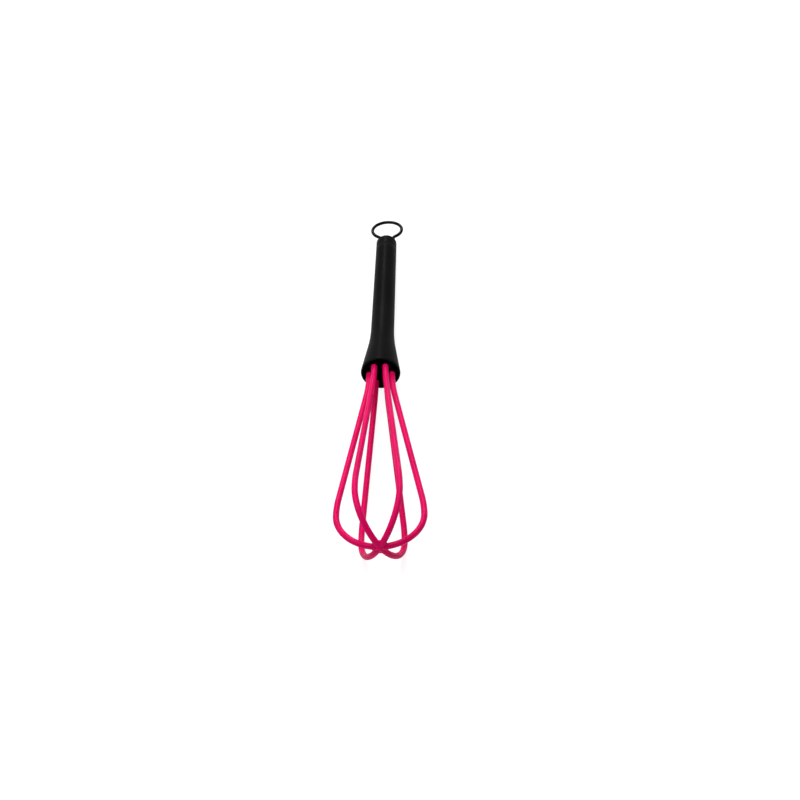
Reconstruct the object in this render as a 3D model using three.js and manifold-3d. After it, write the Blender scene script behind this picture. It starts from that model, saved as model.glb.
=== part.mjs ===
// Balloon whisk with a slim moulded handle. Millimetres, +Z up.
//
// The whisk is built upright about its own axis: z = 0 is the rim of the handle's mouth, the
// cage of strands goes up from it and the handle goes down. It is then laid down as it rests
// on a table, on its two lower strands and the lower edge of its end cap, crown towards -Y.

import * as THREE from "three";
import { mergeVertices } from "three/addons/utils/BufferGeometryUtils.js";
import Module from "manifold-3d";

const wasm = await Module();
wasm.setup();

// ---- Driving dimensions -------------------------------------------------------------------

// Handle: a tapered grip, then a flare out to the mouth
const handleLength = 100;        // face of the end cap to the rim of the mouth
const gripEndRadius = 4.8;       // at the face of the end cap
const gripRadius = 5.1;          // where the flare starts
const gripWall = 1.8;            // at the end cap
const flareLength = 31;          // start of the flare to the rim
const flareAngle = THREE.MathUtils.degToRad(8); // cone of the flare, off the axis
const lipRadius = 0.6;           // rounding of the outer edge of the rim
const rimWall = 0.75;            // round the plug, at the rim

// End cap
const capThickness = 6;
const capChamfer = 0.3;
const spigotLength = 8;          // the part pressed into the bore
const capFloor = 1.2;            // left under the holes for the ring's legs
const capLegWall = 0.55;         // left outside those holes

// Hanging ring: a wire bent to a circle, with two straight legs set in the cap
const wireRadius = 0.75;
const ringRadius = 7.1;          // of the centre line
const ringBendRadius = 1.8;      // bend between the circle and each leg
const ringLegLength = 4.3;       // straight part of each leg outside the cap

// Cage: three loops, each a pair of legs, two shoulders and a half-round crown
const strandRadius = 1.2;
const cageRadius = 16.5;         // of the centre line, at its widest
const cageLength = 100.6;        // rim of the mouth to the centre line at the crown
const shoulderRadius = 56.3;     // slow bend from the leg to the widest point
const footBendRadius = 88;       // bend where a leg leaves the plug
const loopCount = 3;
const cageLean = 0.0265;         // sideways set of the cage, per unit of its length

// Strand plug: a short cone in the mouth, with a hole for each strand
const plugStandOut = 0.25;       // face of the plug, out past the rim of the mouth
const plugLength = 5;
const plugDraft = 0.158;         // slope of its side
const plugWall = 0.3;            // left outside the strand holes, at the back
const strandWeb = 1.75;          // left between neighbouring strand holes

// Clearances
const fit = 0.3;                 // round anything that sits in another piece
const seat = 0.3;                // between faces that meet end to end

// Facets
const turnedSides = 40;
const boreSides = 20;
const rodSides = 12;
const crownSteps = 28;
const ringSteps = 26;
const shortArcSteps = 3;
const flareSteps = 6;

// ---- Materials ----------------------------------------------------------------------------

const finish = (colour, roughness, metalness = 0) =>
  new THREE.MeshStandardMaterial({ color: colour, roughness, metalness });
const blackPlastic = () => finish(0x17171a, 0.42);
const pinkNylon = () => finish(0xf01062, 0.38);
const blackWire = () => finish(0x0b0b0c, 0.35, 0.3);

// ---- Outlines -----------------------------------------------------------------------------

const point = (x, y) => new THREE.Vector2(x, y);

// Points along an arc, both ends included
function arc(centre, radius, from, to, steps) {
  return Array.from({ length: steps + 1 }, (_, i) => {
    const angle = THREE.MathUtils.lerp(from, to, i / steps);
    return point(centre.x + radius * Math.cos(angle), centre.y + radius * Math.sin(angle));
  });
}

// Angle off the axis of the straight line that leaves a hollow arc, whose centre is outside
// the outline, and runs into a round one further along, whose centre is inside
function tangentAngle(hollow, hollowRadius, round, roundRadius) {
  const across = hollow.x - round.x;
  const along = round.y - hollow.y;
  const span = Math.hypot(across, along);
  return Math.atan2(along, across) - Math.acos((hollowRadius + roundRadius) / span);
}

const mirrored = (outline) => outline.map((p) => point(-p.x, p.y)).reverse();

// ---- Solids -------------------------------------------------------------------------------

// A solid turned about the axis, from an outline that climbs on its outer side
function turned(outline, sides = turnedSides) {
  return new THREE.LatheGeometry(outline, sides).rotateX(Math.PI / 2);
}

// A path through given points, stepping from each point to the next
class PointPath extends THREE.Curve {
  constructor(points) {
    super();
    this.points = points;
  }

  getPoint(t, target = new THREE.Vector3()) {
    const place = t * (this.points.length - 1);
    const i = Math.min(Math.floor(place), this.points.length - 2);
    return target.lerpVectors(this.points[i], this.points[i + 1], place - i);
  }

  getUtoTmapping(u) {
    return u;
  }
}

// A round rod along a path
function rod(points, radius) {
  const section = new THREE.Shape(arc(point(0, 0), radius, 0, 2 * Math.PI, rodSides).slice(1));
  return new THREE.ExtrudeGeometry(section, {
    steps: points.length - 1,
    bevelEnabled: false,
    extrudePath: new PointPath(points),
  });
}

// A round bar between two points, for cutting holes
function bar(start, end, radius, sides) {
  const along = end.clone().sub(start);
  const up = new THREE.Vector3(0, 1, 0);
  return new THREE.CylinderGeometry(radius, radius, along.length(), sides)
    .applyQuaternion(new THREE.Quaternion().setFromUnitVectors(up, along.clone().normalize()))
    .translate(...start.clone().add(end).multiplyScalar(0.5).toArray());
}

function toSolid(geometry) {
  const bare = geometry.index ? geometry.toNonIndexed() : geometry.clone();
  bare.deleteAttribute("normal");
  bare.deleteAttribute("uv");
  const merged = mergeVertices(bare, 1e-5);
  return new wasm.Manifold(new wasm.Mesh({
    numProp: 3,
    vertProperties: new Float32Array(merged.attributes.position.array),
    triVerts: new Uint32Array(merged.index.array),
  }));
}

function toGeometry(solid) {
  const mesh = solid.getMesh();
  const geometry = new THREE.BufferGeometry();
  geometry.setAttribute("position", new THREE.BufferAttribute(mesh.vertProperties, 3));
  geometry.setIndex(new THREE.BufferAttribute(mesh.triVerts, 1));
  geometry.computeVertexNormals();
  return geometry;
}

const cut = (geometry, cutters) =>
  toGeometry(cutters.reduce((solid, c) => solid.subtract(toSolid(c)), toSolid(geometry)));

function piece(name, geometry, material) {
  const mesh = new THREE.Mesh(geometry, material);
  mesh.name = name;
  return mesh;
}

// ---- Strand plug and its socket -----------------------------------------------------------

// Strands stand in a circle, close enough together to leave the web between their holes
const halfTurnBetween = Math.PI / loopCount / 2;
const strandHoleRadius = strandRadius + fit;
const strandCircleRadius = (strandHoleRadius + strandWeb / 2) / Math.sin(halfTurnBetween);

const plugFace = plugStandOut;
const plugBack = plugFace - plugLength;
const plugRadiusAt = (z) =>
  strandCircleRadius + strandHoleRadius + plugWall + (z - plugBack) * plugDraft;

// The socket follows the plug down to a flat shoulder
const socketFloor = plugBack - seat;
const socketRadiusAt = (z) => plugRadiusAt(z) + fit;
const mouthRadius = socketRadiusAt(0) + rimWall;

// ---- Handle -------------------------------------------------------------------------------

const capFace = -handleLength;
const capSeat = capFace + capThickness;
const flareStart = -flareLength;
const boreRadius = gripEndRadius - gripWall;
const gripRadiusAt = (z) =>
  THREE.MathUtils.mapLinear(z, capFace, flareStart, gripEndRadius, gripRadius);

// A hollow curve turns the grip into the cone, and the cone runs into the lip
const lipCentre = point(mouthRadius - lipRadius, -lipRadius);
const gripToLip = lipCentre.clone().sub(point(gripRadius, flareStart));
const flareBlendRadius = (gripToLip.y * Math.sin(flareAngle)
  - gripToLip.x * Math.cos(flareAngle) - lipRadius) / (1 - Math.cos(flareAngle));
const flareCentre = point(gripRadius + flareBlendRadius, flareStart);

const handleOutline = [
  point(gripRadiusAt(capSeat + seat), capSeat + seat),
  ...arc(flareCentre, flareBlendRadius, Math.PI, Math.PI - flareAngle, flareSteps),
  ...arc(lipCentre, lipRadius, -flareAngle, Math.PI / 2, shortArcSteps),
  point(socketRadiusAt(0), 0),
  point(socketRadiusAt(socketFloor), socketFloor),
  point(boreRadius, socketFloor),
  point(boreRadius, capSeat + seat),
];
handleOutline.push(handleOutline[0].clone());

// ---- Hanging ring and end cap -------------------------------------------------------------

// Outline of the ring, measured out from the face of the cap
const ringLegSpread = gripEndRadius - capLegWall - fit - wireRadius;
const ringLegDepth = capThickness - capFloor - seat;
const ringBend = point(ringLegSpread + ringBendRadius, ringLegLength);
const bendRise = Math.sqrt((ringRadius + ringBendRadius) ** 2 - ringBend.x ** 2);
const bendAngle = Math.atan2(bendRise, ringBend.x);
const ringCentre = point(0, ringLegLength + bendRise);
const ringLeg = [
  point(ringLegSpread, -ringLegDepth),
  ...arc(ringBend, ringBendRadius, Math.PI, Math.PI - bendAngle, shortArcSteps),
];
const ringCircle = arc(ringCentre, ringRadius, -bendAngle, Math.PI + bendAngle, ringSteps);
const ringOutline = [...ringLeg, ...ringCircle.slice(1, -1), ...mirrored(ringLeg)];
const onRing = (x, reach) => new THREE.Vector3(x, 0, capFace - reach);

const capOutline = [
  point(0, capFace),
  point(gripEndRadius - capChamfer, capFace),
  point(gripRadiusAt(capFace + capChamfer), capFace + capChamfer),
  point(gripRadiusAt(capSeat), capSeat),
  point(boreRadius - fit, capSeat),
  point(boreRadius - fit, capSeat + spigotLength),
  point(0, capSeat + spigotLength),
];
const legHoles = [ringLegSpread, -ringLegSpread].map((x) =>
  bar(onRing(x, -ringLegDepth - seat), onRing(x, wireRadius), wireRadius + fit, boreSides));

// ---- Strands ------------------------------------------------------------------------------

const widest = cageLength - cageRadius;
const footBend = point(strandCircleRadius + footBendRadius, plugFace);
const shoulder = point(cageRadius - shoulderRadius, widest);
const strandAngle = tangentAngle(footBend, footBendRadius, shoulder, shoulderRadius);

const strandSide = [
  point(strandCircleRadius, plugBack),
  ...arc(footBend, footBendRadius, Math.PI, Math.PI - strandAngle, shortArcSteps),
  ...arc(shoulder, shoulderRadius, -strandAngle, 0, shortArcSteps),
];
const crown = arc(point(0, widest), cageRadius, 0, Math.PI, crownSteps).slice(1, -1);
const strandOutline = [...strandSide, ...crown, ...mirrored(strandSide)];

const leanAt = (z) => cageLean * Math.max(0, z - plugFace);
const onLoop = (p, turn) =>
  new THREE.Vector3(p.x * Math.cos(turn) + leanAt(p.y), p.x * Math.sin(turn), p.y);

// The loops cross at one level, so each keeps its own layer of the crossing
const lapRadius = (strandRadius + fit / 2) / Math.sin(halfTurnBetween);
const layer = (2 * strandRadius - (loopCount - 1) * fit) / loopCount;
const crownTop = cageLength + strandRadius;

function lapCutters(index) {
  const centre = (z) => new THREE.Vector3(leanAt(cageLength), 0, z);
  const top = crownTop - index * (layer + fit);
  const past = strandRadius;
  const above = bar(centre(top), centre(crownTop + past), lapRadius, turnedSides);
  const below = bar(centre(crownTop - 2 * strandRadius - past), centre(top - layer),
    lapRadius, turnedSides);
  return [...(index > 0 ? [above] : []), ...(index < loopCount - 1 ? [below] : [])];
}

function strandLoop(index) {
  const turn = index * Math.PI / loopCount;
  const path = strandOutline.map((p) => onLoop(p, turn));
  return piece(`strand_loop_${index + 1}`, cut(rod(path, strandRadius), lapCutters(index)),
    pinkNylon());
}

const plugOutline = [
  point(0, plugBack),
  point(plugRadiusAt(plugBack), plugBack),
  point(plugRadiusAt(plugFace), plugFace),
  point(0, plugFace),
];
const strandHoles = Array.from({ length: 2 * loopCount }, (_, i) => {
  const turn = i * Math.PI / loopCount;
  const place = (z) => onLoop(point(strandCircleRadius, z), turn);
  return bar(place(plugBack - fit), place(plugFace + fit), strandHoleRadius, boreSides);
});

// ---- Assembly -----------------------------------------------------------------------------

const whisk = new THREE.Group();
whisk.add(
  piece("handle_shell", turned(handleOutline), blackPlastic()),
  piece("end_cap", cut(turned(capOutline), legHoles), blackPlastic()),
  piece("hanging_ring", rod(ringOutline.map((p) => onRing(p.x, p.y)), wireRadius), blackWire()),
  piece("strand_plug", cut(turned(plugOutline), strandHoles), blackPlastic()),
  ...Array.from({ length: loopCount }, (_, i) => strandLoop(i)),
);

// Height above the cap's edge of the lowest strand, for a given tilt of the axis
const lowStrand = Math.cos(halfTurnBetween);
function strandOverCap(tilt) {
  const [c, s] = [Math.cos(tilt), Math.sin(tilt)];
  const shoulderLow = -lowStrand * shoulder.x * c + widest * s
    - shoulderRadius * Math.hypot(lowStrand * c, s) - strandRadius;
  const capLow = -gripEndRadius * c + (capFace + capChamfer) * s;
  return shoulderLow - capLow;
}

let [low, high] = [0, Math.PI / 4];
while (high - low > 1e-6) {
  const middle = (low + high) / 2;
  if (strandOverCap(middle) < 0) low = middle;
  else high = middle;
}
whisk.rotation.x = Math.PI / 2 - low;

// Origin under the middle of the whisk, on the table
const group = new THREE.Group();
group.add(whisk);
group.updateMatrixWorld(true);
const box = new THREE.Box3().setFromObject(group, true);
const middle = box.getCenter(new THREE.Vector3());
whisk.position.set(-middle.x, -middle.y, -box.min.z);

export default group;
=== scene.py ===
"""Balloon whisk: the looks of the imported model, its light and its camera.

The whisk is drawn upright about its own axis, as the CAD part is: z = 0 is the rim of the
handle's mouth, the cage goes up and the handle goes down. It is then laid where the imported
model lies. All sizes are in metres.
"""

import math

import bmesh
import bpy
import numpy as np
from mathutils import Matrix, Vector


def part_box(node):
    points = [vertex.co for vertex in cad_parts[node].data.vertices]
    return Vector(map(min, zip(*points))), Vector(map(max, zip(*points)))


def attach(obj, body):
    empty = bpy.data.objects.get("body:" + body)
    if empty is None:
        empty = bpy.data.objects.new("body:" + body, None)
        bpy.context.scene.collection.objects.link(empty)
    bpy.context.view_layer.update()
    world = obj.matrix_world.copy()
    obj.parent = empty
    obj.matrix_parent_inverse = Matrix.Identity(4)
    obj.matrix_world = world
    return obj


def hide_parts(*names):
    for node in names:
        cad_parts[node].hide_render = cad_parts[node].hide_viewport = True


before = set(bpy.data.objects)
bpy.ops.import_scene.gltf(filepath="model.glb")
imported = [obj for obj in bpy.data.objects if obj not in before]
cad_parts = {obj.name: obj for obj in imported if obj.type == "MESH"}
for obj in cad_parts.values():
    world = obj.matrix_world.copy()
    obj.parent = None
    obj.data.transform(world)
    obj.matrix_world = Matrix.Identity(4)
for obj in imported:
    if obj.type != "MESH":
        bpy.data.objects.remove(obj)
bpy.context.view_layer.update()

MM = 0.001

# ---- Sizes shared with the CAD part ------------------------------------------------------

HANDLE_LENGTH = 100 * MM
GRIP_END_RADIUS = 4.8 * MM
GRIP_RADIUS = 5.1 * MM
GRIP_WALL = 1.8 * MM
FLARE_LENGTH = 31 * MM
FLARE_ANGLE = math.radians(8)         # cone of the flare, off the axis
LIP_RADIUS = 0.6 * MM
RIM_WALL = 0.75 * MM

CAP_THICKNESS = 6 * MM
CAP_CHAMFER = 0.3 * MM
CAP_LEG_WALL = 0.55 * MM

WIRE_RADIUS = 0.75 * MM
RING_RADIUS = 7.1 * MM
RING_BEND_RADIUS = 1.8 * MM
RING_LEG_LENGTH = 4.3 * MM
RING_LEG_DEPTH = 4.5 * MM

STRAND_RADIUS = 1.2 * MM
CAGE_RADIUS = 16.5 * MM
CAGE_LENGTH = 100.6 * MM
SHOULDER_RADIUS = 56.3 * MM
FOOT_BEND_RADIUS = 88 * MM
LOOP_COUNT = 3
CAGE_LEAN = 0.0265

PLUG_STAND_OUT = 0.25 * MM
PLUG_LENGTH = 5 * MM
PLUG_DRAFT = 0.158
PLUG_WALL = 0.3 * MM
STRAND_WEB = 1.75 * MM

FIT = 0.3 * MM

# ---- Sizes of the fine surface -----------------------------------------------------------

SEAM = 0.04 * MM            # hairline between the cap and the handle
CAP_EDGE = 0.45 * MM        # rounding of the cap's outer edge
SEAM_EDGE = 0.12 * MM       # rounding of the two edges at the seam
RIM_EDGE = 0.15 * MM        # rounding of the inner edge of the mouth
HANDLE_FLASH = 0.035 * MM   # height of the parting line on the handle
HANDLE_FLASH_WIDTH = 0.3 * MM
STRAND_FLASH = 0.03 * MM    # height of the parting line on the strands
STRAND_FLASH_WIDTH = 0.22 * MM
COLLAR = 0.28 * MM          # raised lip where a rod goes into a face
COLLAR_HEIGHT = 0.14 * MM
STRAND_ROOT = 0.12 * MM     # how much thicker a strand is where it leaves the plug
STRAND_ROOT_REACH = 12 * MM
GATE_RADIUS = 0.5 * MM      # stub left at the crown, where the plastic was let in
GATE_HEIGHT = 0.28 * MM
WEB_RADIUS = 3.4 * MM       # moulded web that fills the corners where the strands cross
WEB_THICKNESS = 1.7 * MM
WEB_REACH = 6.5 * MM        # how far the web's mesh follows each strand
WEB_VOXEL = 0.11 * MM
WEB_SMOOTHING = 8
WEB_SMOOTHING_FACTOR = 0.5
WEB_POLE = 0.02             # radians left open at the two ends of the web's lens
AXIS_HOLE = 0.2 * MM        # flat left at the middle of a turned end face
PLUG_CLEARANCE = 0.05 * MM  # round the plug
HANDLE_END_WEAR = 0.5 * MM  # how fast the rubbed look fades from an edge
# how fast the lighter lip fades from the rim: wear, with a painted highlight on the lip
RIM_WEAR_AND_HIGHLIGHT = 0.6 * MM

# ---- Facets ------------------------------------------------------------------------------

HANDLE_SIDES = 128
PLUG_SIDES = 96
WEB_SIDES = 64
COLLAR_SIDES = 48
STRAND_SIDES = 32
GATE_SIDES = 32
WIRE_SIDES = 24
EDGE_STEPS = 4              # on a small rounding
GATE_EDGE_STEPS = 5
CAP_EDGE_STEPS = 8
CAP_SIDE_STEPS = 5
LIP_STEPS = 10
GRIP_STEPS = 24
FLARE_STEPS = 24
CONE_STEPS = 10
RING_LEG_STEPS = 6
RING_BEND_STEPS = 10
RING_STEPS = 80
FOOT_STEPS = 6
FOOT_BEND_STEPS = 12
LEG_STEPS = 44
SHOULDER_STEPS = 12
CROWN_STEPS = 72
WEB_STEPS = 24


# ---- Outlines ----------------------------------------------------------------------------

def arc(centre, radius, start, end, steps):
    """Points along an arc, both ends included."""
    angles = np.linspace(start, end, steps + 1)
    return [(centre[0] + radius * math.cos(a), centre[1] + radius * math.sin(a))
            for a in angles]


def line(start, end, steps):
    """Points along a line, without its ends."""
    return [tuple(np.add(start, np.subtract(end, start) * i / steps)) for i in range(1, steps)]


def tangent_angle(hollow, hollow_radius, round_, round_radius):
    """Angle off the axis of the line from a hollow arc into a round one further along."""
    across, along = hollow[0] - round_[0], round_[1] - hollow[1]
    span = math.hypot(across, along)
    return math.atan2(along, across) - math.acos((hollow_radius + round_radius) / span)


def mirrored(outline):
    return [(-x, y) for x, y in reversed(outline)]


half_turn_between = math.pi / LOOP_COUNT / 2
strand_hole_radius = STRAND_RADIUS + FIT
strand_circle_radius = (strand_hole_radius + STRAND_WEB / 2) / math.sin(half_turn_between)
plug_face = PLUG_STAND_OUT
plug_back = plug_face - PLUG_LENGTH
cap_face = -HANDLE_LENGTH
cap_seat = cap_face + CAP_THICKNESS
bore_radius = GRIP_END_RADIUS - GRIP_WALL


def socket_radius(z):
    """Inside of the mouth, at a height z."""
    plug_side = strand_circle_radius + strand_hole_radius + PLUG_WALL
    return plug_side + FIT + (z - plug_back) * PLUG_DRAFT


def grip_radius(z):
    """Outside of the grip, at a height z."""
    return float(np.interp(z, [cap_face, -FLARE_LENGTH], [GRIP_END_RADIUS, GRIP_RADIUS]))


mouth_radius = socket_radius(0) + RIM_WALL
lip_centre = (mouth_radius - LIP_RADIUS, -LIP_RADIUS)
flare_blend = ((FLARE_LENGTH - LIP_RADIUS) * math.sin(FLARE_ANGLE)
               - (lip_centre[0] - GRIP_RADIUS) * math.cos(FLARE_ANGLE)
               - LIP_RADIUS) / (1 - math.cos(FLARE_ANGLE))
flare_centre = (GRIP_RADIUS + flare_blend, -FLARE_LENGTH)


# ---- Where the whisk lies ----------------------------------------------------------------

widest = CAGE_LENGTH - CAGE_RADIUS
shoulder = (CAGE_RADIUS - SHOULDER_RADIUS, widest)


def strand_over_cap(tilt):
    """Height of the lowest strand above the cap's lower edge, for a tilt of the axis."""
    c, s = math.cos(tilt), math.sin(tilt)
    low_strand = math.cos(half_turn_between)
    strand = (-low_strand * shoulder[0] * c + widest * s
              - SHOULDER_RADIUS * math.hypot(low_strand * c, s) - STRAND_RADIUS)
    return strand - (-GRIP_END_RADIUS * c + (cap_face + CAP_CHAMFER) * s)


TILT_ERROR = 1e-7
flatter, steeper = 0.0, math.pi / 4
while steeper - flatter > TILT_ERROR:
    middle = (flatter + steeper) / 2
    if strand_over_cap(middle) < 0:
        flatter = middle
    else:
        steeper = middle
laid_down = Matrix.Rotation(math.pi / 2 - flatter, 4, "X")

# The lower edge of the cap touches the table. The lip of the mouth is the end of the handle
# that is nearest the crown, which fixes where the whisk lies along the table.
cap_edge = laid_down @ Vector((0, -GRIP_END_RADIUS, cap_face + CAP_CHAMFER))
lip_ends = [laid_down @ Vector((0, -(mouth_radius - LIP_RADIUS), 0)),
            laid_down @ Vector((0, -mouth_radius, -LIP_RADIUS))]
handle_low, handle_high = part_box("handle_shell")
whisk_place = Matrix.Translation((
    (handle_low.x + handle_high.x) / 2,
    handle_low.y - min(end.y for end in lip_ends),
    -cap_edge.z,
)) @ laid_down


# ---- Mesh code ---------------------------------------------------------------------------

def new_object(name, points, faces, wear_and_highlight=None):
    """A smooth mesh of points in the whisk's own axes, laid where the whisk lies."""
    mesh = bpy.data.meshes.new(name)
    mesh.from_pydata([tuple(p) for p in points], [], faces)
    mesh.transform(whisk_place)
    shape = bmesh.new()
    shape.from_mesh(mesh)
    bmesh.ops.recalc_face_normals(shape, faces=shape.faces)
    shape.to_mesh(mesh)
    shape.free()
    mesh.shade_smooth()
    if wear_and_highlight is not None:
        layer = mesh.attributes.new("wear_and_highlight", "FLOAT", "POINT")
        layer.data.foreach_set("value", np.asarray(wear_and_highlight, np.float32))
    obj = bpy.data.objects.new(name, mesh)
    bpy.context.scene.collection.objects.link(obj)
    return obj


def grid_faces(rows, columns, closed_rows=False):
    """Quads of a grid that closes round its columns, and round its rows if asked."""
    last = rows if closed_rows else rows - 1
    return [
        (i * columns + j, i * columns + (j + 1) % columns,
         (i + 1) % rows * columns + (j + 1) % columns, (i + 1) % rows * columns + j)
        for i in range(last) for j in range(columns)
    ]


FLASH_ANGLES = np.array([-1, -0.5, 0, 0.5, 1])  # across a parting line, in its half widths
FLASH_CLEAR = 1.6           # half widths kept free of other angles
FLASH_CROWN = 0.7           # below 1 gives a fuller ridge


def off_parting_line(angles):
    """How far each angle is from the nearer parting line; they are at 0 and pi."""
    return np.abs((angles + math.pi / 2) % math.pi - math.pi / 2)


def flash_angles(steps, radius, width):
    """Angles round a circle, closer together at the two parting lines."""
    near = width / radius
    even = np.linspace(0, 2 * math.pi, steps, endpoint=False)
    close = FLASH_ANGLES * near
    clear = even[off_parting_line(even) > FLASH_CLEAR * near]
    return np.sort(np.concatenate([clear, close, close + math.pi]))


def flash_height(angles, radius, width, height):
    """Height of the parting line above the surface, at each angle."""
    off_line = off_parting_line(angles) * radius / width
    return height * np.clip(1 - off_line, 0, 1) ** FLASH_CROWN


def turned(name, outline, steps=HANDLE_SIDES, flash=0.0, wear_and_highlight=None, closed=False,
           centre=(0, 0)):
    """A solid turned from an outline of (radius, z), with a parting line down two sides."""
    angles = flash_angles(steps, GRIP_RADIUS, HANDLE_FLASH_WIDTH)
    ridge = flash_height(angles, GRIP_RADIUS, HANDLE_FLASH_WIDTH, 1.0)
    points, marks = [], []
    for i, (radius, z) in enumerate(outline):
        lift = flash[i] if np.ndim(flash) else flash
        r = radius + lift * ridge
        points.extend(zip(centre[0] + r * np.cos(angles), centre[1] + r * np.sin(angles),
                          np.full(len(angles), z)))
        marks.extend([wear_and_highlight[i] if wear_and_highlight is not None else 0.0] * len(angles))
    faces = grid_faces(len(outline), len(angles), closed)
    if not closed:
        count = len(angles)
        faces.append(tuple(reversed(range(count))))
        faces.append(tuple(range(len(points) - count, len(points))))
    return new_object(name, points, faces, marks)


def swept(points, normal, radius, angles, height):
    """Rings of a round rod along points in a plane; the radius may vary along it."""
    points = np.asarray(points)
    along = np.gradient(points, axis=0)
    along /= np.linalg.norm(along, axis=1)[:, None]
    across = np.cross(along, normal)
    across /= np.linalg.norm(across, axis=1)[:, None]
    up = np.cross(across, along)
    r = (np.broadcast_to(radius, len(points))[:, None] + height[None, :])[:, :, None]
    return (points[:, None, :]
            + r * np.cos(angles)[None, :, None] * across[:, None, :]
            + r * np.sin(angles)[None, :, None] * up[:, None, :])


def rod(name, points, normal, radius, steps=STRAND_SIDES, flash=0.0, flash_width=0.0):
    """A rod along points in a plane, with flat ends, and a parting line in that plane."""
    if flash:
        around = float(np.min(radius))
        angles = flash_angles(steps, around, flash_width)
        height = flash_height(angles, around, flash_width, flash)
    else:
        angles = np.linspace(0, 2 * math.pi, steps, endpoint=False)
        height = np.zeros(steps)
    rings = swept(points, normal, radius, angles, height)
    rows, columns = rings.shape[:2]
    faces = grid_faces(rows, columns)
    faces.append(tuple(reversed(range(columns))))
    faces.append(tuple(range((rows - 1) * columns, rows * columns)))
    return new_object(name, rings.reshape(-1, 3), faces)


def put(obj, material, slot, *nodes):
    """The piece rides on the one body, wears its material and stands for its CAD nodes."""
    obj.data.materials.clear()
    obj.data.materials.append(material)
    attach(obj, "root")
    if nodes:
        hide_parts(*nodes)


# ---- Materials ---------------------------------------------------------------------------

# Sizes of the surface detail
PLASTIC_CLOUDS = 18 * MM
SMUDGES = 6 * MM
SCUFFS = 1.4 * MM
RUBBED_SPOTS = 2.5 * MM
HANDLE_GRAIN = 0.28 * MM
PLUG_GRAIN = 0.2 * MM
NYLON_CLOUDS = 14 * MM
FLOW_LINES = 2.2 * MM
PITS = 0.35 * MM
ORANGE_PEEL = 0.5 * MM
COAT_PATCHES = 3 * MM
LIGHT_REACH = 1.0 * MM      # how far light gets into the strands

CLOUD_LIFT = 1.35           # how much lighter the flow clouds are than the plastic
RUBBED_SMOOTHER = 0.12      # roughness lost where an edge is rubbed


class Shader:
    """A material whose nodes are added one at a time."""

    def __init__(self, name):
        self.material = bpy.data.materials.new(name)
        self.material.use_nodes = True
        self.tree = self.material.node_tree
        self.surface = self.tree.nodes["Principled BSDF"]
        self.place = self.add("ShaderNodeTexCoord").outputs["Object"]

    def feed(self, socket, value):
        """Give a socket a value, or link another socket to it."""
        if isinstance(value, bpy.types.NodeSocket):
            self.tree.links.new(value, socket)
        else:
            socket.default_value = value

    def add(self, kind, settings=None, **inputs):
        node = self.tree.nodes.new(kind)
        for key, value in (settings or {}).items():
            setattr(node, key, value)
        for key, value in inputs.items():
            self.feed(node.inputs[key.replace("_", " ")], value)
        return node

    def set(self, **inputs):
        for key, value in inputs.items():
            self.feed(self.surface.inputs[key.replace("_", " ")], value)

    def noise(self, size, detail=2.0, roughness=0.5, stretch=None):
        """Noise whose grains are about the given size, from 0 to 1."""
        place = self.place
        if stretch:
            place = self.add("ShaderNodeMapping", Vector=place, Scale=stretch).outputs[0]
        return self.add("ShaderNodeTexNoise", Vector=place, Scale=1 / size, Detail=detail,
                        Roughness=roughness).outputs["Fac"]

    def scale(self, value, low, high, start=0.0, end=1.0):
        """A value from start to end spread over low to high."""
        return self.add("ShaderNodeMapRange", Value=value, From_Min=start, From_Max=end,
                        To_Min=low, To_Max=high).outputs[0]

    def math(self, operation, a, b):
        node = self.tree.nodes.new("ShaderNodeMath")
        node.operation = operation
        for socket, value in zip(node.inputs, (a, b)):
            self.feed(socket, value)
        return node.outputs[0]

    def mix(self, factor, a, b):
        """Colour a turning into colour b."""
        node = self.tree.nodes.new("ShaderNodeMix")
        node.data_type = "RGBA"
        sockets = [s for s in node.inputs if s.enabled]
        for socket, value in zip(sockets, (factor, a, b)):
            self.feed(socket, value)
        return next(s for s in node.outputs if s.enabled)

    def bump(self, height, distance, strength, under=None):
        inputs = {"Height": height, "Distance": distance, "Strength": strength}
        if under is not None:
            inputs["Normal"] = under
        return self.add("ShaderNodeBump", **inputs).outputs["Normal"]

    def wear_and_highlight(self):
        """How much each point of the mesh is rubbed, from 0 to 1; near the mouth's lip this
        also paints a highlight.
        """
        return self.add("ShaderNodeAttribute", {"attribute_name": "wear_and_highlight"}).outputs["Fac"]


def colour(red, green, blue):
    return (red, green, blue, 1.0)


def black_plastic(name, base, worn_and_highlit, gloss, roughness, spread, grain):
    """Moulded black plastic: fine spark grain, faint flow clouds, edges rubbed smoother and
    lighter; at the mouth's lip the lighter colour is a painted highlight.
    """
    lighter = colour(*(c * CLOUD_LIFT for c in base[:3]))
    s = Shader(name)
    clouds = s.noise(PLASTIC_CLOUDS, 3.0)
    smudges = s.noise(SMUDGES, 5.0, 0.6, (1.0, 0.35, 1.0))
    grain_height = s.noise(grain, 2.0, 0.6)
    scuffs = s.noise(SCUFFS, 4.0, 0.7, (1.0, 0.12, 1.0))
    spots = s.scale(s.noise(RUBBED_SPOTS, 4.0, 0.65), 0.2, 1.0, 0.35, 0.65)
    rubbed_and_highlit = s.math("MULTIPLY", s.wear_and_highlight(), spots)
    tint = s.mix(s.scale(clouds, 0.0, 1.0, 0.35, 0.65), base, lighter)
    dullness = s.scale(smudges, roughness - spread, roughness + spread, 0.3, 0.7)
    s.set(
        # lighter colour on rubbed edges; on the mouth's lip it is a painted highlight
        Base_Color=s.mix(rubbed_and_highlit, tint, worn_and_highlit),
        Roughness=s.math("ADD", dullness, s.math("MULTIPLY", rubbed_and_highlit, -RUBBED_SMOOTHER)),
        Specular_IOR_Level=gloss,
        Normal=s.bump(scuffs, 0.02 * MM, 0.25, s.bump(grain_height, 0.03 * MM, 0.35)),
    )
    return s.material


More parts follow.
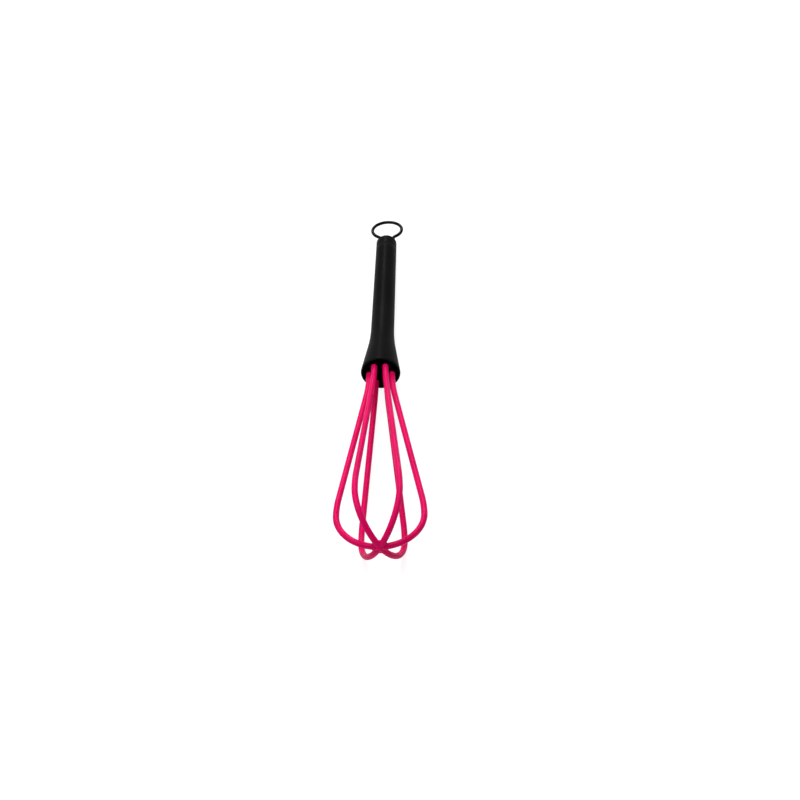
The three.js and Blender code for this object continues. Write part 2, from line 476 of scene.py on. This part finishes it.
def pink_nylon():
    """Glossy dyed plastic that lets a little light through, with faint flow lines."""
    s = Shader("pink_nylon")
    clouds = s.noise(NYLON_CLOUDS, 2.0)
    flow = s.noise(FLOW_LINES, 4.0, 0.6, (1.0, 0.2, 1.0))
    pits = s.noise(PITS, 2.0, 0.6)
    deep, bright = colour(0.54, 0.0012, 0.084), colour(0.62, 0.0022, 0.101)
    s.set(
        Base_Color=s.mix(s.scale(clouds, 0.0, 1.0, 0.35, 0.65), deep, bright),
        Roughness=s.scale(flow, 0.34, 0.48, 0.3, 0.7),
        Specular_IOR_Level=0.04,
        Subsurface_Weight=0.1,
        Subsurface_Radius=(0.6, 0.1, 0.3),
        Subsurface_Scale=LIGHT_REACH,
        Normal=s.bump(flow, 0.03 * MM, 0.25, s.bump(pits, 0.012 * MM, 0.3)),
    )
    return s.material


def black_wire():
    """Wire with a thin black coat: slight orange peel and small dull patches."""
    s = Shader("black_wire")
    peel = s.noise(ORANGE_PEEL, 2.0)
    patches = s.noise(COAT_PATCHES, 4.0)
    dark, dull = colour(0.0008, 0.0008, 0.0009), colour(0.0016, 0.0016, 0.0018)
    s.set(
        Base_Color=s.mix(s.scale(patches, 0.0, 1.0, 0.4, 0.7), dark, dull),
        Roughness=s.scale(patches, 0.3, 0.45, 0.3, 0.7),
        Specular_IOR_Level=0.08,
        Normal=s.bump(peel, 0.02 * MM, 0.3),
    )
    return s.material


# The handle's lighter worn colour marks rubbed edges, and paints a highlight on the mouth's lip
handle_black = black_plastic(
    "handle_black", base=colour(0.005, 0.005, 0.0052), worn_and_highlit=colour(0.012, 0.012, 0.0124),
    gloss=0.007, roughness=0.38, spread=0.05, grain=HANDLE_GRAIN)
# Black plastic, made much darker than the handle's to paint the shade inside the mouth
plug_black_and_painted_shade = black_plastic(
    "plug_black_and_painted_shade", base=colour(0.0004, 0.0004, 0.0004), worn_and_highlit=colour(0.0012, 0.0012, 0.0012),
    gloss=0.002, roughness=0.7, spread=0.08, grain=PLUG_GRAIN)
strand_pink = pink_nylon()
wire_black = black_wire()

# ---- Handle ------------------------------------------------------------------------------

flare_arc = arc(flare_centre, flare_blend, math.pi, math.pi - FLARE_ANGLE, FLARE_STEPS)
lip_arc = arc(lip_centre, LIP_RADIUS, -FLARE_ANGLE, math.pi / 2, LIP_STEPS)
handle_end = cap_seat + SEAM
rim_inside = socket_radius(0)
grip_start = (grip_radius(handle_end + SEAM_EDGE), handle_end + SEAM_EDGE)
outside = (
    arc((grip_start[0] - SEAM_EDGE, grip_start[1]), SEAM_EDGE, -math.pi / 2, 0, EDGE_STEPS)
    + line(grip_start, flare_arc[0], GRIP_STEPS) + flare_arc
    + line(flare_arc[-1], lip_arc[0], CONE_STEPS) + lip_arc
)
inside = (
    arc((rim_inside + RIM_EDGE, -RIM_EDGE), RIM_EDGE, math.pi / 2, math.pi, EDGE_STEPS)
    + [(socket_radius(plug_back), plug_back), (bore_radius, plug_back),
       (bore_radius, handle_end)]
)
handle_outline = outside + inside
on_outside = [1.0] * len(outside) + [0.0] * len(inside)
# Edges rubbed lighter at the handle's end, and a painted highlight on the mouth's lip
edge_wear_and_lip_highlight = [
    max(math.exp(-abs(z - handle_end) / HANDLE_END_WEAR), math.exp(-abs(z) / RIM_WEAR_AND_HIGHLIGHT))
    if on else 0.0 for (_, z), on in zip(handle_outline, on_outside)
]
put(turned("handle_shell_fine", handle_outline, flash=[HANDLE_FLASH * on for on in on_outside],
           wear_and_highlight=edge_wear_and_lip_highlight, closed=True), handle_black, "handle", "handle_shell")

cap_top = cap_seat - SEAM / 2
cap_outline = (
    [(AXIS_HOLE, cap_face), (GRIP_END_RADIUS / 2, cap_face)]
    + arc((GRIP_END_RADIUS - CAP_EDGE, cap_face + CAP_EDGE), CAP_EDGE, -math.pi / 2, 0,
          CAP_EDGE_STEPS)
    + line((GRIP_END_RADIUS, cap_face + CAP_EDGE), (grip_radius(cap_top), cap_top),
           CAP_SIDE_STEPS)
    + arc((grip_radius(cap_top) - SEAM_EDGE, cap_top - SEAM_EDGE), SEAM_EDGE, 0, math.pi / 2,
          EDGE_STEPS)
    + [(bore_radius - FIT, cap_top), (bore_radius - FIT, cap_top + 2 * CAP_EDGE)]
)
cap_wear = [math.exp(-abs(z - cap_face) / HANDLE_END_WEAR) if r > bore_radius else 0.0
            for r, z in cap_outline]
put(turned("end_cap_fine", cap_outline, wear_and_highlight=cap_wear), handle_black, "handle", "end_cap")

# ---- Hanging ring ------------------------------------------------------------------------

leg_x = GRIP_END_RADIUS - CAP_LEG_WALL - FIT - WIRE_RADIUS
bend = (leg_x + RING_BEND_RADIUS, RING_LEG_LENGTH)
bend_rise = math.sqrt((RING_RADIUS + RING_BEND_RADIUS) ** 2 - bend[0] ** 2)
bend_angle = math.atan2(bend_rise, bend[0])
leg_end = (leg_x, -RING_LEG_DEPTH)
ring_leg = ([leg_end] + line(leg_end, (leg_x, RING_LEG_LENGTH), RING_LEG_STEPS)
            + arc(bend, RING_BEND_RADIUS, math.pi, math.pi - bend_angle, RING_BEND_STEPS))
ring_circle = arc((0, RING_LEG_LENGTH + bend_rise), RING_RADIUS, -bend_angle,
                  math.pi + bend_angle, RING_STEPS)
ring_path = ring_leg + ring_circle[1:-1] + mirrored(ring_leg)
put(rod("hanging_ring_fine", [(x, 0, cap_face - reach) for x, reach in ring_path], (0, 1, 0),
        WIRE_RADIUS, steps=WIRE_SIDES), wire_black, "ring", "hanging_ring")

# ---- Strands -----------------------------------------------------------------------------

foot_bend = (strand_circle_radius + FOOT_BEND_RADIUS, plug_face)
strand_angle = tangent_angle(foot_bend, FOOT_BEND_RADIUS, shoulder, SHOULDER_RADIUS)
foot = (strand_circle_radius, plug_back + FIT)
foot_arc = arc(foot_bend, FOOT_BEND_RADIUS, math.pi, math.pi - strand_angle, FOOT_BEND_STEPS)
shoulder_arc = arc(shoulder, SHOULDER_RADIUS, -strand_angle, 0, SHOULDER_STEPS)
strand_side = ([foot] + line(foot, foot_arc[0], FOOT_STEPS) + foot_arc
               + line(foot_arc[-1], shoulder_arc[0], LEG_STEPS) + shoulder_arc)
crown = arc((0, widest), CAGE_RADIUS, 0, math.pi, CROWN_STEPS)[1:-1]
strand_path = strand_side + crown + mirrored(strand_side)


def on_loop(p, turn):
    """A point of the strands' outline, on the loop at this turn of the cage."""
    lean = CAGE_LEAN * max(0.0, p[1] - plug_face)
    return (p[0] * math.cos(turn) + lean, p[0] * math.sin(turn), p[1])


def loop_normal(turn):
    return (-math.sin(turn), math.cos(turn), 0)


turns = [i * math.pi / LOOP_COUNT for i in range(LOOP_COUNT)]
strand_radii = [
    STRAND_RADIUS + STRAND_ROOT * math.exp(-max(0.0, z - plug_face) / STRAND_ROOT_REACH)
    for _, z in strand_path
]
for i, turn in enumerate(turns):
    put(rod(f"strand_loop_{i + 1}_fine", [on_loop(p, turn) for p in strand_path],
            loop_normal(turn), strand_radii, flash=STRAND_FLASH,
            flash_width=STRAND_FLASH_WIDTH),
        strand_pink, "strands", f"strand_loop_{i + 1}")

# The strands run into each other at the crown, with a web in the corners between them
crown_centre = on_loop((0, CAGE_LENGTH), 0)
near_crown = [p for p in strand_path if p[1] > widest and abs(p[0]) < WEB_REACH]
web_parts = [rod("crown_web_fine", [on_loop(p, turn) for p in near_crown], loop_normal(turn),
                 STRAND_RADIUS) for turn in turns]
lens = [(WEB_RADIUS * math.sin(a), crown_centre[2] - WEB_THICKNESS / 2 * math.cos(a))
        for a in np.linspace(WEB_POLE, math.pi - WEB_POLE, WEB_STEPS)]
web_parts.append(turned("crown_web_fine", lens, steps=WEB_SIDES, centre=crown_centre))
web = web_parts[0]
with bpy.context.temp_override(active_object=web, selected_editable_objects=web_parts):
    bpy.ops.object.join()
remesh = web.modifiers.new("one_skin", "REMESH")
remesh.mode, remesh.voxel_size, remesh.use_smooth_shade = "VOXEL", WEB_VOXEL, True
smooth = web.modifiers.new("soft_corners", "SMOOTH")
smooth.factor, smooth.iterations = WEB_SMOOTHING_FACTOR, WEB_SMOOTHING
put(web, strand_pink, "strands")

# The stub starts below the crown and its cut end is slightly dished
gate_base = CAGE_LENGTH + STRAND_RADIUS - GATE_HEIGHT
gate_top = gate_base + 2 * GATE_HEIGHT
gate_edge = GATE_RADIUS * 0.3
gate_outline = [
    (0.9 * GATE_RADIUS, gate_base), (GATE_RADIUS, gate_base),
    *arc((GATE_RADIUS - gate_edge, gate_top - gate_edge), gate_edge, 0, math.pi / 2,
         GATE_EDGE_STEPS),
    (gate_edge, gate_top - 0.2 * GATE_HEIGHT),
]
put(turned("gate_stub_fine", gate_outline, steps=GATE_SIDES, centre=crown_centre),
    strand_pink, "strands")

# ---- Strand plug -------------------------------------------------------------------------

plug_edge = socket_radius(plug_face) - PLUG_CLEARANCE
plug_narrow = plug_edge - (plug_face - plug_back) * PLUG_DRAFT
plug_outline = [
    (AXIS_HOLE, plug_back + FIT), (plug_narrow, plug_back + FIT),
    *arc((plug_edge - RIM_EDGE, plug_face - RIM_EDGE), RIM_EDGE, 0, math.pi / 2, EDGE_STEPS),
    (plug_edge * 0.6, plug_face), (AXIS_HOLE, plug_face),
]
put(turned("strand_plug_fine", plug_outline, steps=PLUG_SIDES), plug_black_and_painted_shade, "plug",
    "strand_plug")


def collar(name, centre, face, out, radius, material, slot):
    """A low raised lip round a rod, on a face; out is +1 up from it and -1 down."""
    ring = [
        (radius, face), (radius + COLLAR, face),
        (radius + 0.8 * COLLAR, face + out * 0.7 * COLLAR_HEIGHT),
        (radius + 0.5 * COLLAR, face + out * COLLAR_HEIGHT),
        (radius, face + out * COLLAR_HEIGHT),
    ]
    put(turned(name, ring, steps=COLLAR_SIDES, closed=True, centre=centre), material, slot)


for i in range(2 * LOOP_COUNT):
    foot_place = on_loop((strand_circle_radius, plug_face), i * math.pi / LOOP_COUNT)
    collar(f"strand_collar_{i + 1}", foot_place, plug_face, 1, STRAND_RADIUS + STRAND_ROOT,
           plug_black_and_painted_shade, "plug")
for side, sign in (("left", -1), ("right", 1)):
    collar(f"ring_collar_{side}", (sign * leg_x, 0), cap_face, -1, WIRE_RADIUS, handle_black,
           "handle")

# ---- Floor, light and camera -------------------------------------------------------------

ROOM_LIGHT = 0.15
FLOOR_HALF = 40.0
FLOOR_GLOW = 0.88           # keeps the floor white, with only faint shadows


def studio_floor():
    s = Shader("studio_floor")
    s.set(Base_Color=colour(0.2, 0.2, 0.2), Roughness=0.9, Specular_IOR_Level=0.1,
          Emission_Color=colour(1.0, 1.0, 1.0), Emission_Strength=FLOOR_GLOW)
    return s.material


corners = [(x * FLOOR_HALF, y * FLOOR_HALF, 0) for x, y in ((-1, -1), (1, -1), (1, 1), (-1, 1))]
floor_mesh = bpy.data.meshes.new("studio_floor")
floor_mesh.from_pydata(corners, [], [(0, 1, 2, 3)])
floor_mesh.materials.append(studio_floor())
floor = bpy.data.objects.new("studio_floor", floor_mesh)
bpy.context.scene.collection.objects.link(floor)


def softbox(name, place, width, height, power):
    """A rectangular light aimed at the whisk."""
    data = bpy.data.lights.new(name, "AREA")
    data.shape = "RECTANGLE"
    data.size, data.size_y, data.energy = width, height, power
    lamp = bpy.data.objects.new(name, data)
    lamp.location = place
    lamp.rotation_euler = (-Vector(place)).to_track_quat("-Z", "Y").to_euler()
    bpy.context.scene.collection.objects.link(lamp)


softbox("overhead", place=(-0.12, 0.0, 1.3), width=0.9, height=0.9, power=16)
softbox("behind", place=(-0.12, 1.1, 0.95), width=0.2, height=0.8, power=13)
softbox("left", place=(-1.1, -0.3, 0.8), width=0.6, height=0.6, power=3)

world = bpy.data.worlds.new("studio")
world.use_nodes = True
room = world.node_tree.nodes["Background"]
room.inputs["Color"].default_value = colour(1.0, 1.0, 1.0)
room.inputs["Strength"].default_value = ROOM_LIGHT
bpy.context.scene.world = world
bpy.context.scene.view_settings.view_transform = "Standard"

VIEW_AZIMUTH = math.radians(4.35)     # turned from looking along +Y
VIEW_ELEVATION = math.radians(43.09)
VIEW_ROLL = math.radians(-5.245)
VIEW_AIM = Vector((5.5, -16.42, 1.94)) * MM
VIEW_DISTANCE = 548.5 * MM
LENS = 58.5                           # millimetres, on a 36 mm sensor

forward = Vector((-math.sin(VIEW_AZIMUTH) * math.cos(VIEW_ELEVATION),
                  math.cos(VIEW_AZIMUTH) * math.cos(VIEW_ELEVATION),
                  -math.sin(VIEW_ELEVATION)))
level = forward.cross(Vector((0, 0, 1))).normalized()
right = Matrix.Rotation(VIEW_ROLL, 3, -forward) @ level
up = right.cross(forward)
camera_data = bpy.data.cameras.new("camera")
camera_data.lens = LENS
camera = bpy.data.objects.new("camera", camera_data)
camera.matrix_world = Matrix.Translation(VIEW_AIM - forward * VIEW_DISTANCE) @ Matrix(
    (right, up, -forward)).transposed().to_4x4()
bpy.context.scene.collection.objects.link(camera)
bpy.context.scene.camera = camera
